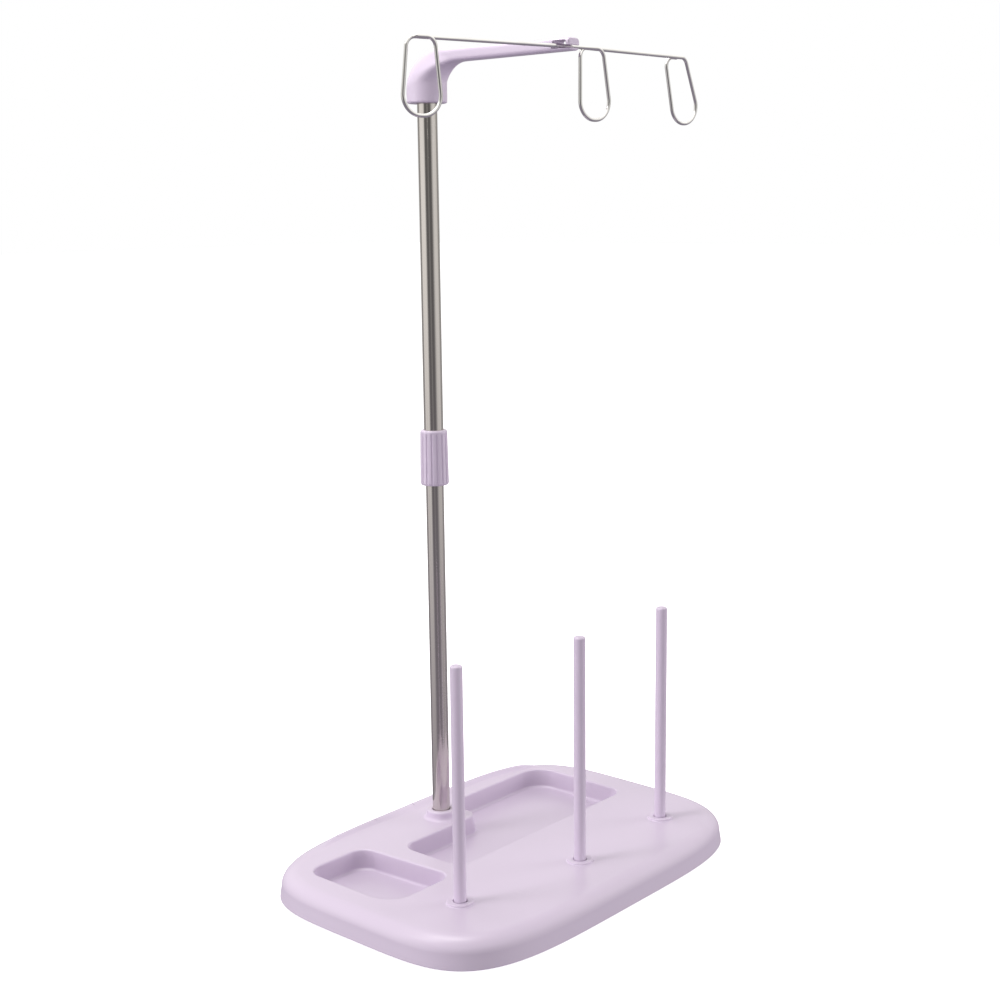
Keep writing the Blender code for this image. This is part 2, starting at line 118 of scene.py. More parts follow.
# Arm
ARM_POINTS = 80
ARM_OUTER_BEND = 20.0
ARM_INNER_REACH, ARM_INNER_DROP = 14.5, 9.0
ARM_UNDERSIDE = 413.3
ARM_HALF_WIDTH, ARM_TIP_HALF_WIDTH = 5.2, 4.4
ARM_FALL = 1.4  # how much lower the top line is at the tip than at the bend
TIP_PAD, TIP_PAD_START = 0.35, -78.5  # the lug on the tip: its height, and where it starts from the pole
TIP_RISE = 0.1  # how much higher the underside is at the tip than at the bend
SLOT_DEPTH, SLOT_HALF_HEIGHT, SLOT_ROOF = 9.6, 1.02, 2.75

# Wire guide: the same route as the frame's wire, with finer bends
WIRE_RADIUS = 0.9
WIRE_Z = 415.5
EYE_HALF_WIDTH, EYE_TOP_HALF_WIDTH = 10.3, 6.4
EYE_RADIUS, EYE_TOP_RADIUS = 8.6, 4.6
STRAND_PITCH = 2.3  # between the two strands where an eye's wire crosses itself
EYES = {  # centre in plan, direction in degrees, height of the top, height of the bottom, lean of the bottom
    "left": ((-75.0, -19.0), -16.6, WIRE_Z + 0.8, 382.7, 0.0),
    "middle": ((14.5, -45.5), -6.5, WIRE_Z, 382.9, 2.9),
    "right": ((91.7, -41.2), -6.0, WIRE_Z + 1.0, 384.1, 10.0),
}

# Studio glow, as soft boxes. Each has the bearing of its middle, to the right of the viewpoint's side, half
# its width and how far its edge fades, all in degrees, and then its brightness.
GLOW_BOXES = ((-74, 22, 28, 1.08), (80, 14, 46, 0.90), (0, 3, 12, 0.26))
FRONT_LEVEL, BACK_LEVEL = 0.14, 0.46
HIGH_FRONT_LEVEL, HIGH_BACK_LEVEL = 0.33, 0.95
CEILING_LEVEL, CEILING_GLOSS_LEVEL = 0.32, 1.45
GROUND_COLOUR = (0.29, 0.26, 0.32)
WARMTH = (1.0, 0.985, 0.965)
LAMP_COLOUR = (1.0, 0.985, 0.97)
LAMP_TARGET = (0, 0, 0.15)
# Where one level changes into the next: bearings from the front, and heights as sines of the elevation
BACK_FROM, HIGH_BACK_FROM = (100, 140), (34, 60)
HORIZON, HIGH_FROM = (-0.50, 0.05), (0.07, 0.15)
CEILING_FROM, CEILING_GLOSS_FROM = (0.30, 0.62), (0.30, 0.55)


def link(name, mesh):
    made = bpy.data.objects.new(name, mesh)
    bpy.context.scene.collection.objects.link(made)
    return made


def finished(name, shape, sharp=32.0, weighted=True):
    """Turns a bmesh in millimetres into a smooth-shaded object in metres."""
    bmesh.ops.recalc_face_normals(shape, faces=shape.faces)
    shape.transform(Matrix.Scale(MM, 4))
    mesh = bpy.data.meshes.new(name)
    shape.to_mesh(mesh)
    shape.free()
    made = link(name, mesh)
    smooth(made, sharp, weighted)
    return made


def smooth(made, sharp=32.0, weighted=True):
    made.data.shade_smooth()
    made.data.set_sharp_from_angle(angle=math.radians(sharp))
    if weighted:
        normals = made.modifiers.new("weighted_normals", "WEIGHTED_NORMAL")
        normals.keep_sharp = True


def applied(made):
    """Replaces the object's mesh by its evaluated one, and drops the modifiers and the cutters."""
    graph = bpy.context.evaluated_depsgraph_get()
    mesh = bpy.data.meshes.new_from_object(made.evaluated_get(graph))
    tools = [modifier.object for modifier in made.modifiers if modifier.type == "BOOLEAN"]
    made.modifiers.clear()
    made.data = mesh
    for tool in tools:
        bpy.data.objects.remove(tool, do_unlink=True)


def cut(target, *tools):
    for tool in tools:
        modifier = target.modifiers.new(tool.name, "BOOLEAN")
        modifier.operation = "DIFFERENCE"
        modifier.solver = "EXACT"
        modifier.object = tool
    applied(target)


def add_ring(shape, points):
    return [shape.verts.new(point) for point in points]


def bridge(shape, first, second):
    for index in range(len(first)):
        after = (index + 1) % len(first)
        shape.faces.new((first[index], first[after], second[after], second[index]))


def skin(shape, rings):
    """Quads through rings of equal point counts; returns the first and the last loop of vertices."""
    loops = [add_ring(shape, ring) for ring in rings]
    for first, second in zip(loops, loops[1:]):
        bridge(shape, first, second)
    return loops[0], loops[-1]


def fill(shape, *loops):
    """A flat face between an outer loop and the loops of the holes in it."""
    edges = []
    for loop in loops:
        for index, vertex in enumerate(loop):
            edges.append(shape.edges.get((vertex, loop[(index + 1) % len(loop)])))
    bmesh.ops.triangle_fill(shape, use_beauty=True, use_dissolve=False, edges=edges, normal=(0, 0, 1))


def circle(radius, z, centre=(0, 0), count=96):
    ring = []
    for step in range(count):
        turn = math.tau * step / count
        ring.append((centre[0] + radius * math.cos(turn), centre[1] + radius * math.sin(turn), z))
    return ring


def arc(centre, radius, start, end, steps):
    """Points (a, b) on an arc, angles in degrees."""
    points = []
    for step in range(steps + 1):
        turn = math.radians(start + (end - start) * step / steps)
        points.append((centre[0] + radius * math.cos(turn), centre[1] + radius * math.sin(turn)))
    return points


def turned(name, profile, centre, count=96, closed=False, sharp=32.0, weighted=True):
    """A turned piece from its (radius, height) profile: capped at both ends, or closed on itself."""
    shape = bmesh.new()
    rings = [circle(radius, z, centre, count) for radius, z in profile]
    first, last = skin(shape, rings)
    if closed:
        bridge(shape, last, first)
    else:
        shape.faces.new(first)
        shape.faces.new(last)
    return finished(name, shape, sharp, weighted)


def ease(value):
    value = min(1.0, max(0.0, value))
    return value * value * (3 - 2 * value)


def superellipse(inset, count=OUTLINE_POINTS):
    """Points (x, y) of the base's outline, moved inwards by inset.

    inset may be a function of x and of the side, which is negative in front and positive behind.
    """
    points = []
    for step in range(count):
        turn = math.tau * (step + 0.5) / count
        across, along = math.cos(turn), math.sin(turn)
        unit_x = math.copysign(abs(across) ** (2 / OUTLINE_POWER), across)
        unit_y = math.copysign(abs(along) ** (2 / OUTLINE_POWER), along)
        depth = inset(unit_x * HALF_LENGTH, unit_y) if callable(inset) else inset
        points.append((unit_x * (HALF_LENGTH - depth), unit_y * (HALF_WIDTH - depth)))
    return points


def lip_height(x, y):
    if y <= 0:
        return 0.0
    part = (x - LIP_START) / (LIP_END - LIP_START)
    ends = ease((x - LIP_START) / LIP_FADE) * ease((LIP_END - x) / LIP_FADE)
    return (LIP_LEFT_HEIGHT + (LIP_RIGHT_HEIGHT - LIP_LEFT_HEIGHT) * part) * ends


def lip_width(x, side):
    """How far the lip's inner slope runs: short at the ends, long beside the pole."""
    if side <= 0:
        return LIP_INNER_SLOPE
    return LIP_INNER_SLOPE + LIP_INNER_EXTRA * math.exp(-(((x - LIP_EXTRA_MIDDLE) / LIP_EXTRA_SPREAD) ** 2))


def outline_rings():
    """The base's outside, from the bottom of the rim over the rounded edge to the flat of the deck."""
    shoulder = DECK - EDGE_RADIUS
    wall_foot = RIM_BOTTOM + RIM_EDGE
    profile = []
    for turn in (0.0, 0.4, 0.8, 1.2, 1.57):
        profile.append((RIM_EDGE - RIM_EDGE * math.sin(turn), wall_foot - RIM_EDGE * math.cos(turn)))
    for part in (0.25, 0.5, 0.75):
        profile.append((DRAFT * part, wall_foot + (shoulder - wall_foot) * part))
    rings = []
    for inset, z in profile:
        rings.append([(x, y, z) for x, y in superellipse(inset)])
    steps = 18
    for step in range(steps + 1):
        turn = math.radians(90) * step / steps
        inset = DRAFT + EDGE_RADIUS * (1 - math.cos(turn))
        z = shoulder + EDGE_RADIUS * math.sin(turn)
        rise = ease((inset - DRAFT - EDGE_RADIUS + LIP_OUTER_SLOPE) / LIP_OUTER_SLOPE)
        rings.append([(x, y, z + rise * lip_height(x, y)) for x, y in superellipse(inset)])
    edge = DRAFT + EDGE_RADIUS
    for part in (0.12, 0.24, 0.36, 0.48, 0.6, 0.72, 0.84, 0.93, 1.0, 1.12):
        points = superellipse(lambda x, side: edge + 0.5 + lip_width(x, side) * part)
        fall = 1 - ease(part)
        rings.append([(x, y, DECK + fall * lip_height(x, y)) for x, y in points])
    return rings


def rounded_corner(back, corner, ahead, radius, steps):
    before = (back - corner).normalized()
    after = (ahead - corner).normalized()
    half = before.angle(after) / 2
    centre = corner + (before + after).normalized() * radius / math.sin(half)
    start = corner + before * radius / math.tan(half) - centre
    end = corner + after * radius / math.tan(half) - centre
    sweep = start.angle(end)
    points = []
    for step in range(steps + 1):
        part = step / steps
        swing = start * math.sin((1 - part) * sweep) + end * math.sin(part * sweep)
        points.append(centre + swing / math.sin(sweep))
    return points


def tray_outline(corners, grow, z, steps=14):
    """A tray's rounded outline at height z, with its walls moved outwards by grow."""
    places = [Vector(place) for place, _ in corners]
    moved, radii = [], []
    for index, (_, radius) in enumerate(corners):
        before = (places[index] - places[index - 1]).normalized()
        after = (places[(index + 1) % len(places)] - places[index]).normalized()
        turn = before.x * after.y - before.y * after.x
        out_before = Vector((before.y, -before.x))
        out_after = Vector((after.y, -after.x))
        shift = (out_before + out_after) / (1 + out_before.dot(out_after))
        moved.append(places[index] + shift * grow)
        radii.append(radius + math.copysign(grow, turn))
    points = []
    for index, corner in enumerate(moved):
        ahead = moved[(index + 1) % len(moved)]
        points += rounded_corner(moved[index - 1], corner, ahead, radii[index], steps)
    return [(point.x, point.y, z) for point in points]


def tray_rings(corners):
    """A tray's skin, from the deck over its rounded edge and down the drafted wall to the floor."""
    rings = [tray_outline(corners, TRAY_EDGE + 0.7, DECK)]
    for grow, z in arc((TRAY_EDGE, DECK - TRAY_EDGE), TRAY_EDGE, 90, 180, 7):
        rings.append(tray_outline(corners, grow, z))
    for grow, z in arc((-TRAY_DRAFT - TRAY_FOOT, TRAY_FLOOR + TRAY_FOOT), TRAY_FOOT, 0, -90, 8):
        rings.append(tray_outline(corners, grow, z))
    rings.append(tray_outline(corners, -TRAY_DRAFT - TRAY_FOOT - 0.7, TRAY_FLOOR))
    return rings


def seat_profile(pin_radius, hole_floor):
    """(radius, height) from the deck up over a spool seat and down into the pin's hole."""
    top = DECK + SEAT_HEIGHT
    hole = pin_radius + GAP
    profile = [(SEAT_RADIUS + 1.2, DECK)]
    profile += arc((SEAT_RADIUS + 0.6, DECK + 0.6), 0.6, -90, -180, 5)
    profile += arc((SEAT_RADIUS - 0.4, top - 0.4), 0.4, 0, 90, 4)
    profile += [(hole + 0.9, top), (hole + 0.35, top), (hole, top - 0.35)]
    profile += [(hole, hole_floor), (1.5, hole_floor)]
    return profile


def pole_socket_profile(pole_radius, hole_floor):
    """(radius, height) from the deck up over the pole's socket and down into its hole."""
    hole = pole_radius + GAP
    profile = [(SOCKET_RADIUS + 2.3, DECK)]
    profile += arc((SOCKET_RADIUS + 2.0, DECK + 2.0), 2.0, -90, -180, 9)
    profile += arc((SOCKET_RADIUS - 1.0, SOCKET_TOP - 1.0), 1.0, 0, 90, 6)
    profile += [(hole + 0.9, SOCKET_TOP), (hole + 0.4, SOCKET_TOP), (hole, SOCKET_TOP - 0.4)]
    profile += [(hole, hole_floor), (1.7, hole_floor)]
    return profile


def outer_skin(name):
    """The base as a solid block with its deck, trays, seats and sockets, without the hollow underneath."""
    shape = bmesh.new()
    rim, deck = skin(shape, outline_rings())
    shape.faces.new(rim)
    holes = []
    for corners in (NEEDLE_TRAY, BOBBIN_TRAY):
        edge, floor = skin(shape, tray_rings(corners))
        holes.append(edge)
        fill(shape, floor)
    for side in ("left", "middle", "right"):
        low, high = box_mm("spool_pin_" + side)
        centre = axis_mm("spool_pin_" + side)
        profile = seat_profile((high.x - low.x) / 2, low.z - GAP)
        edge, floor = skin(shape, [circle(radius, z, centre, 64) for radius, z in profile])
        holes.append(edge)
        shape.faces.new(floor)
    low, high = box_mm("lower_pole")
    profile = pole_socket_profile((high.x - low.x) / 2, low.z - GAP)
    edge, floor = skin(shape, [circle(radius, z, (POLE_X, POLE_Y), 96) for radius, z in profile])
    holes.append(edge)
    shape.faces.new(floor)
    fill(shape, deck, *holes)
    return finished(name, shape, weighted=False)


def solid(name, rings):
    shape = bmesh.new()
    first, last = skin(shape, rings)
    shape.faces.new(first)
    shape.faces.new(last)
    return finished(name, shape, weighted=False)


def underside_hollow():
    """The hollow under the deck, with the sockets, pads and tray walls left standing in it."""
    inner = EDGE_RADIUS - WALL
    shoulder = DECK - EDGE_RADIUS
    rings = [[(x, y, RIM_BOTTOM - 2) for x, y in superellipse(WALL, 144)]]
    for inset, z in arc((DRAFT + WALL + inner, shoulder), inner, 180, 90, 9):
        rings.append([(x, y, z) for x, y in superellipse(inset, 144)])
    hollow = solid("hollow", rings)
    tools = []
    for index, corners in enumerate((NEEDLE_TRAY, BOBBIN_TRAY)):
        under = tray_outline(corners, WALL - TRAY_DRAFT, TRAY_FLOOR - WALL, 8)
        over = tray_outline(corners, WALL, DECK + 2, 8)
        tools.append(solid("tray_walls_%d" % index, [under, over]))
    for side in ("left", "middle", "right"):
        core = [(6.6, 4.2), (6.6, DECK)]
        tools.append(turned("pin_socket_" + side, core, axis_mm("spool_pin_" + side), 64, weighted=False))
    for end in ("front", "rear"):
        for side in ("left", "right"):
            node = "rubber_foot_%s_%s" % (end, side)
            pad = [(9.0, box_mm(node)[1].z + 0.3), (9.0, DECK)]
            tools.append(turned("pad_" + node, pad, axis_mm(node), 64, weighted=False))
    core = [(SOCKET_RADIUS, 5.6), (SOCKET_RADIUS, DECK)]
    tools.append(turned("pole_core", core, (POLE_X, POLE_Y), 64, weighted=False))
    cut(hollow, *tools)
    return hollow


def notch(index, x):
    """A cutter for one of the narrow notches across the rear lip."""
    half = NOTCH_WIDTH / 2
    rear = HALF_WIDTH - DRAFT - EDGE_RADIUS
    floor = DECK + NOTCH_FLOOR
    section = [(x - half, floor + 2.5), (x, floor), (x + half, floor + 2.5), (x, floor + 6)]
    rings = []
    for y in (rear + NOTCH_BEHIND, rear - NOTCH_AHEAD):
        rings.append([(across, y, z) for across, z in section])
    return solid("notch_%d" % index, rings)


def base_moulding():
    made = outer_skin("base_moulding")
    tools = [underside_hollow()]
    for side in ("left", "middle", "right"):
        centre = axis_mm("spool_pin_" + side)
        hole = [(PIN_SCREW_HOLE, -1), (PIN_SCREW_HOLE, 9)]
        tools.append(turned("screw_hole_" + side, hole, centre, 32, weighted=False))
    hole = [(POLE_SCREW_HOLE, -1), (POLE_SCREW_HOLE, 12)]
    tools.append(turned("pole_screw_hole", hole, (POLE_X, POLE_Y), 32, weighted=False))
    tools += [notch(index, x) for index, x in enumerate(NOTCH_SPOTS)]
    cut(made, *tools)
    smooth(made)
    return made


def spool_pin(side):
    """A tapering pin with a rounded top, and a bore for its screw in the foot."""
    low, high = box_mm("spool_pin_" + side)
    foot = (high.x - low.x) / 2
    head = foot - 0.08
    corner = 1.2
    profile = [(0.3, low.z + 9.4), (1.4, low.z + 9), (1.4, low.z + 0.3), (1.7, low.z)]
    profile += [(foot - 0.3, low.z), (foot, low.z + 0.3)]
    for step in range(1, 12):
        part = step / 12
        profile.append((foot + (head - foot) * part, low.z + 0.3 + (high.z - corner - low.z - 0.3) * part))
    profile += arc((head - corner, high.z - corner), corner, 0, 80, 8)
    profile += [(head - corner - 0.5, high.z - 0.006), (0.25, high.z)]
    return turned("pin_" + side, profile, axis_mm("spool_pin_" + side), 72)


def rubber_foot(node):
    """A stick-on foot: rounded edge below, a shallow dish in the face that stands on the table."""
    low, high = box_mm(node)
    radius = (high.x - low.x) / 2
    profile = [(0.3, 0.35), (radius * 0.55, 0.35), (radius * 0.68, 0.12), (radius * 0.74, 0.0)]
    profile += [(radius - 0.55, 0.0)]
    profile += arc((radius - 0.5, 0.5), 0.5, -75, 0, 5)
    profile += arc((radius - 0.25, high.z - 0.25), 0.25, 0, 90, 4)
    profile += [(radius * 0.5, high.z), (0.3, high.z)]
    return turned(node.replace("rubber_foot", "foot"), profile, axis_mm(node), 64)


def screw(node):
    """A pan-head screw, head down, with a cross recess and a threaded shank."""
    low, high = box_mm(node)
    head = (high.x - low.x) / 2
    shank = head * 0.41
    thick = 2.0
    profile = [(0.2, low.z), (head * 0.55, low.z + 0.03), (head * 0.82, low.z + 0.2)]
    profile += [(head * 0.96, low.z + 0.6), (head, low.z + 1.0), (head, low.z + thick - 0.1)]
    profile += [(head - 0.15, low.z + thick), (shank, low.z + thick)]
    height = low.z + thick + 0.6
    while height < high.z - 2.2:
        profile += [(shank * 0.8, height), (shank, height + 0.35), (shank * 0.8, height + 0.7)]
        height += 0.9
    profile += [(shank * 0.78, high.z - 1.2), (0.2, high.z)]
    centre = axis_mm(node)
    made = turned(node.replace("_screw", "_fastener"), profile, centre, 48)
    made.modifiers.clear()
    tools = []
    for index, angle in enumerate((0.4, 0.4 + math.pi / 2)):
        along = Vector((math.cos(angle), math.sin(angle)))
        across = Vector((-along.y, along.x))
        rings = []
        for z, reach, half in ((low.z - 0.4, head * 0.62, 0.42), (low.z + 1.25, head * 0.2, 0.2)):
            ring = []
            for a, b in ((-1, -1), (1, -1), (1, 1), (-1, 1)):
                spot = Vector(centre) + along * reach * a + across * half * b
                ring.append((spot.x, spot.y, z))
            rings.append(ring)
        tools.append(solid("recess_%d" % index, rings))
    cut(made, *tools)
    smooth(made)
    return made


def tube(name, node):
    """A drawn tube with rolled ends."""
    low, high = box_mm(node)
    radius = (high.x - low.x) / 2
    edge = TUBE_WALL * 0.45
    bore = radius - TUBE_WALL
    profile = arc((radius - edge, low.z + edge), edge, -90, 0, 4)
    for step in range(1, 24):
        profile.append((radius, low.z + (high.z - low.z) * step / 24))
    profile += arc((radius - edge, high.z - edge), edge, 0, 90, 4)
    profile += arc((bore + edge, high.z - edge), edge, 90, 180, 4)
    profile += arc((bore + edge, low.z + edge), edge, 180, 270, 4)
    return turned(name, profile, axis_mm(node), 128, closed=True, sharp=50)


def collar_ring(radius, z, depth, centre):
    """Broad rounded ribs with a narrow groove between each two."""
    ring = []
    count = RIBS * 16
    for step in range(count):
        turn = math.tau * step / count
        place = abs((step / 16) % 1 - 0.5) * 2
        crown = 1 - 0.10 * (1 - place) ** 2 - ease((0.42 - place) / 0.34) * 0.9
        reach = radius - depth * (1 - crown)
        ring.append((centre[0] + reach * math.cos(turn), centre[1] + reach * math.sin(turn), z))
    return ring


def lock_collar():
    """The twist grip: its grooves start below the plain top rim and run out in the lower chamfer."""
    low, high = box_mm("lock_collar")
    centre = axis_mm("lock_collar")
    foot = (high.x - low.x) / 2
    head = foot - 0.45
    height = high.z - low.z
    corner, chamfer = 1.0, 1.3

    def radius_at(z):
        return foot + (head - foot) * (z - low.z) / height

    count = RIBS * 16
    rings = [circle(4.8, low.z, centre, count), circle(foot - chamfer - 0.5, low.z, centre, count)]
    for inset, rise in arc((0, chamfer), chamfer, -78, -6, 6):
        rings.append(collar_ring(foot - chamfer + inset, low.z + rise, GROOVE_DEPTH * rise / chamfer, centre))
    for step in range(1, 19):
        z = low.z + chamfer + (height - chamfer - corner - 0.6) * step / 19
        rings.append(collar_ring(radius_at(z), z, GROOVE_DEPTH, centre))
    groove_end = ((2.6, 0.97), (2.3, 0.85), (2.0, 0.6), (1.75, 0.3), (1.5, 0.08), (1.3, 0.0), (1.1, 0.0))
    for down, depth in groove_end:
        rings.append(collar_ring(radius_at(high.z - down), high.z - down, GROOVE_DEPTH * depth, centre))
    for inset, rise in arc((0, -corner), corner, 5, 84, 7):
        rings.append(circle(head - corner + inset, high.z + rise, centre, count))
    rings += [circle(5.6, high.z, centre, count), circle(5.3, high.z - 0.15, centre, count)]
    rings += [circle(5.15, high.z - 0.4, centre, count), circle(5.15, high.z - 1.8, centre, count)]
    rings += [circle(6.05, high.z - 1.8, centre, count), circle(6.05, low.z + 1.8, centre, count)]
    rings += [circle(4.8, low.z + 1.8, centre, count)]
    shape = bmesh.new()
    first, last = skin(shape, rings)
    bridge(shape, last, first)
    return finished("grip_collar", shape, sharp=38)


def arm_section(top, under, half_width, power, under_power, narrow=0.0):
    """A section between a point of the arm's top line and one of its underside, both (y, z).

    power rounds its upper half and under_power its lower half. narrow shrinks the whole section.
    """
    middle = (Vector(top) + Vector(under)) / 2
    reach = (Vector(top) - middle) * (1 - narrow)
    ring = []
    for step in range(ARM_POINTS):
        angle = math.tau * step / ARM_POINTS
        bend = power if math.sin(angle) >= 0 else under_power
        across = math.copysign(abs(math.cos(angle)) ** (2 / bend), math.cos(angle))
        up = math.copysign(abs(math.sin(angle)) ** (2 / bend), math.sin(angle))
        place = middle + reach * up
        ring.append((POLE_X + half_width * (1 - narrow) * across, POLE_Y + place.x, place.y))
    return ring


def arm_rings(low, high):
    """Sections from the socket's mouth round the bend to the tip."""
    socket = high.x - POLE_X
    tip = low.y - POLE_Y
    bend_y, bend_z = socket - ARM_OUTER_BEND, high.z - ARM_OUTER_BEND
    inner_y, inner_z = -socket - ARM_INNER_REACH, ARM_UNDERSIDE - ARM_INNER_DROP
    taper = ARM_HALF_WIDTH - ARM_TIP_HALF_WIDTH
    rings = []
    for inset, rise in arc((0, 1.0), 1.0, -90, 0, 6):
        reach = socket - 1.0 + inset
        rings.append(arm_section((reach, low.z + rise), (-reach, low.z + rise), reach, 2, 2))
    steps = 40
    for step in range(steps + 1):
        part = step / steps
        turn = math.radians(90) * part
        top = (bend_y + ARM_OUTER_BEND * math.cos(turn), bend_z + ARM_OUTER_BEND * math.sin(turn))
        under = (inner_y + ARM_INNER_REACH * math.cos(turn), inner_z + ARM_INNER_DROP * math.sin(turn))
        half_width = socket + (ARM_HALF_WIDTH - socket) * ease(part)
        rings.append(arm_section(top, under, half_width, 2 + 0.5 * ease(part), 2 + 2.6 * ease(part * 1.25)))
    steps = 36
    for step in range(1, steps + 1):
        part = step / steps * 0.985
        top_y = bend_y + (tip - bend_y) * part
        under_y = inner_y + (tip - inner_y) * part
        pad = TIP_PAD * ease((TIP_PAD_START - top_y) / 2.0)
        top = (top_y, high.z - ARM_FALL * part + pad)
        under = (under_y, ARM_UNDERSIDE + TIP_RISE * part)
        rings.append(arm_section(top, under, ARM_HALF_WIDTH - taper * part, 2.5 + part, 4.6 - part))
    for narrow, back in ((0.07, 0.35), (0.16, 0.12), (0.28, 0.0)):
        top = (tip + back, high.z - ARM_FALL + TIP_PAD)
        under = (tip + back, ARM_UNDERSIDE + TIP_RISE)
        rings.append(arm_section(top, under, ARM_TIP_HALF_WIDTH, 3.5, 3.6, narrow))
    return rings


def wire_slot(tip):
    """A cutter for the slot: a round-backed channel for the wire, a relief above it, a gap under the hook."""
    level = WIRE_Z
    roof = level + SLOT_ROOF
    outline = [(tip - 3, level - SLOT_HALF_HEIGHT)]
    outline += arc((tip + SLOT_DEPTH, level), SLOT_HALF_HEIGHT, -90, 60, 9)
    outline += arc((tip + 9.0, roof - 0.7), 0.7, -10, 90, 5)
    outline += arc((tip + 2.3, roof - 0.6), 0.6, 90, 180, 5)
    outline += [(tip + 1.5, level + 0.75), (tip + 1.1, level + 0.45)]
    outline += [(tip - 0.6, level + 0.6), (tip - 3, level + 2.0)]
    return solid("wire_slot", [[(POLE_X + x, y, z) for y, z in outline] for x in (-12, 12)])


def swing_arm():
    """The arm with its bore for the pole and, at the tip, two jaws with the slot that grips the wire."""
    low, high = box_mm("arm")
    pole_low, pole_high = box_mm("upper_pole")
    shape = bmesh.new()
    first, last = skin(shape, arm_rings(low, high))
    shape.faces.new(first)
    shape.faces.new(last)
    made = finished("swing_arm", shape, weighted=False)
    bore = (pole_high.x - pole_low.x) / 2 + 0.05
    profile = [(bore + 1.6, low.z - 1), (bore + 0.6, low.z - 0.01)]
    profile += [(bore, low.z + 0.6), (bore, pole_high.z + 1.5)]
    hole = turned("arm_bore", profile, (POLE_X, POLE_Y), 96, weighted=False)
    cut(made, hole, wire_slot(low.y))
    smooth(made, 36)
    return made


def wire_route():
    """The wire's centre line: each eye is a full turn, clockwise from the front, one strand further back."""
    corners, radii = [], []

    def add(side, along, z, back, radius):
        centre, degrees = EYES[side][:2]
        turn = math.radians(degrees)
        x = centre[0] + along * math.cos(turn) - back * math.sin(turn)
        y = centre[1] + along * math.sin(turn) + back * math.cos(turn)
        corners.append(Vector((x, y, z)))
        radii.append(radius)

    def turn_down_and_up(side, back):
        _, _, top, bottom, lean = EYES[side]
        add(side, EYE_TOP_HALF_WIDTH, top, back, EYE_TOP_RADIUS)
        add(side, lean + EYE_HALF_WIDTH, bottom, back + STRAND_PITCH * 0.35, EYE_RADIUS)
        add(side, lean - EYE_HALF_WIDTH, bottom, back + STRAND_PITCH * 0.65, EYE_RADIUS)
        add(side, -EYE_TOP_HALF_WIDTH, top, back + STRAND_PITCH, EYE_TOP_RADIUS)

    add("left", -3.5, EYES["left"][2], -STRAND_PITCH, 0)
    turn_down_and_up("left", -STRAND_PITCH)
    turn_down_and_up("middle", 0)
    turn_down_and_up("right", STRAND_PITCH)
    add("right", 3.0, EYES["right"][2], 2 * STRAND_PITCH, 0)
    route = [corners[0]]
    for index in range(1, len(corners) - 1):
        route += rounded_corner(corners[index - 1], corners[index], corners[index + 1], radii[index], 16)
    return route + [corners[-1]]


def guide_wire():
    """A tube swept along the route without twist, its two cut ends rounded."""
    route = wire_route()
    count = 20
    ends = 5
    start = (route[0] - route[1]).normalized()
    finish = (route[-1] - route[-2]).normalized()
    path = []
    for step in range(ends, 0, -1):
        turn = math.radians(84) * step / ends
        path.append((route[0] + start * WIRE_RADIUS * (math.sin(turn) - 1), WIRE_RADIUS * math.cos(turn)))
    path.append((route[0] - start * WIRE_RADIUS, WIRE_RADIUS))
    path += [(point, WIRE_RADIUS) for point in route[1:-1]]
    path.append((route[-1] - finish * WIRE_RADIUS, WIRE_RADIUS))
    for step in range(1, ends + 1):
        turn = math.radians(84) * step / ends
        path.append((route[-1] + finish * WIRE_RADIUS * (math.sin(turn) - 1), WIRE_RADIUS * math.cos(turn)))
    shape = bmesh.new()
    side = start.cross(Vector((0, 0, 1))).normalized()
    rings = []
    for index, (point, radius) in enumerate(path):
        before = path[max(0, index - 1)][0]
        after = path[min(len(path) - 1, index + 1)][0]
        ahead = (after - before).normalized()
        side = (side - ahead * side.dot(ahead)).normalized()
        other = ahead.cross(side)
        ring = []
        for step in range(count):
            turn = math.tau * step / count
            ring.append(point + (side * math.cos(turn) + other * math.sin(turn)) * radius)
        rings.append(ring)
    first, last = skin(shape, rings)
    shape.faces.new(first)
    shape.faces.new(last)
    return finished("guide_wire", shape, sharp=45, weighted=False)


# Materials


